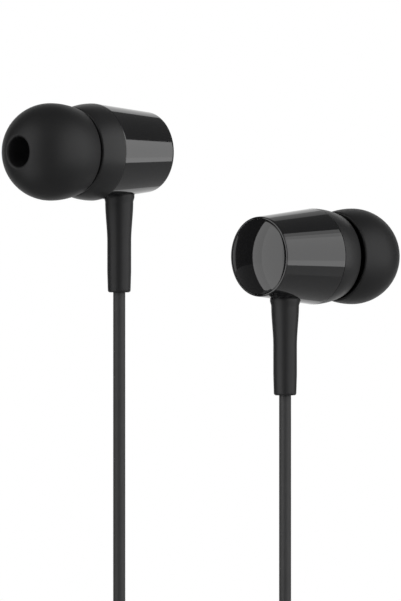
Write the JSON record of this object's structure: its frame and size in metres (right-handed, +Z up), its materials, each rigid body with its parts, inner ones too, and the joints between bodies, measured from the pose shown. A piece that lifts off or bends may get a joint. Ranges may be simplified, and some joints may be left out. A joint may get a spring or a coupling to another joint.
{
  "type": "wired earphones",
  "caption": "Wired in-ear earphones with glossy tapered barrels, silicone eartips and moulded strain reliefs, on a thin forked cord that is wound and tied, with a slim audio plug.",
  "frame": {"origin": "centre of the left eartip's dome, where the left ear holds it", "axes": "+X along the barrels, from the left eartip to the right one; +Y across the barrels, away from the viewer; +Z up, against the hang of the cords"},
  "size_m": [0.0675, 0.0484, 0.0847],
  "materials": {
    "eartip_silicone": "soft matte silicone",
    "shell_satin": "satin moulded",
    "barrel_gloss": "high gloss black",
    "cap_gloss": "high gloss black",
    "relief_rubber": "satin elastomer",
    "cord_sheath": "satin elastomer sheath",
    "mesh_steel": "fine perforated sheet",
    "basket_plastic": "moulded",
    "diaphragm_film": "thin film",
    "coil_copper": "enamelled copper winding",
    "pole_steel": "plated",
    "magnet_nickel": "nickel plated",
    "damper_felt": "thin felt",
    "board": "coated circuit board",
    "lead_insulation": "enamelled wire",
    "tie_plastic": "coated wire tie",
    "plug_metal": "nickel plated",
    "plug_insulator": "moulded"
  },
  "bodies": {
    "earphones": {"left_front_shell": "shell_satin", "left_nozzle_mesh": "mesh_steel", "left_barrel": "barrel_gloss", "left_rear_cap": "cap_gloss", "left_strain_relief": "relief_rubber", "left_driver_frame": "basket_plastic", "left_diaphragm": "diaphragm_film", "left_voice_coil": "coil_copper", "left_top_plate": "pole_steel", "left_magnet": "magnet_nickel", "left_yoke": "pole_steel", "left_damper_ring": "damper_felt", "left_terminal_board": "board", "left_lead_wires": "lead_insulation", "right_front_shell": "shell_satin", "right_nozzle_mesh": "mesh_steel", "right_barrel": "barrel_gloss", "right_rear_cap": "cap_gloss", "right_strain_relief": "relief_rubber", "right_driver_frame": "basket_plastic", "right_diaphragm": "diaphragm_film", "right_voice_coil": "coil_copper", "right_top_plate": "pole_steel", "right_magnet": "magnet_nickel", "right_yoke": "pole_steel", "right_damper_ring": "damper_felt", "right_terminal_board": "board", "right_lead_wires": "lead_insulation", "left_cord_drop": "cord_sheath", "left_cord_coil": "cord_sheath", "left_cord_tail": "cord_sheath", "right_cord_drop": "cord_sheath", "right_cord_coil": "cord_sheath", "right_cord_tail": "cord_sheath", "branch_coil_tie": "tie_plastic", "cable_splitter": "shell_satin", "main_cord_start": "cord_sheath", "main_cord_coil": "cord_sheath", "main_cord_end": "cord_sheath", "main_coil_tie": "tie_plastic", "plug_strain_relief": "relief_rubber", "plug_grip": "shell_satin", "plug_sleeve_contact": "plug_metal", "plug_rear_insulator": "plug_insulator", "plug_ring_contact": "plug_metal", "plug_front_insulator": "plug_insulator", "plug_tip_contact": "plug_metal"},
    "left_tip": {"left_eartip": "eartip_silicone"},
    "right_tip": {"right_eartip": "eartip_silicone"}
  },
  "joints": [
    {"name": "left_eartip_slide", "type": "slide", "parent": "earphones", "child": "left_tip", "axis": [-1, 0, 0], "range_m": [0, 0.008]},
    {"name": "right_eartip_slide", "type": "slide", "parent": "earphones", "child": "right_tip", "axis": [1, 0, 0], "range_m": [0, 0.008]}
  ]
}
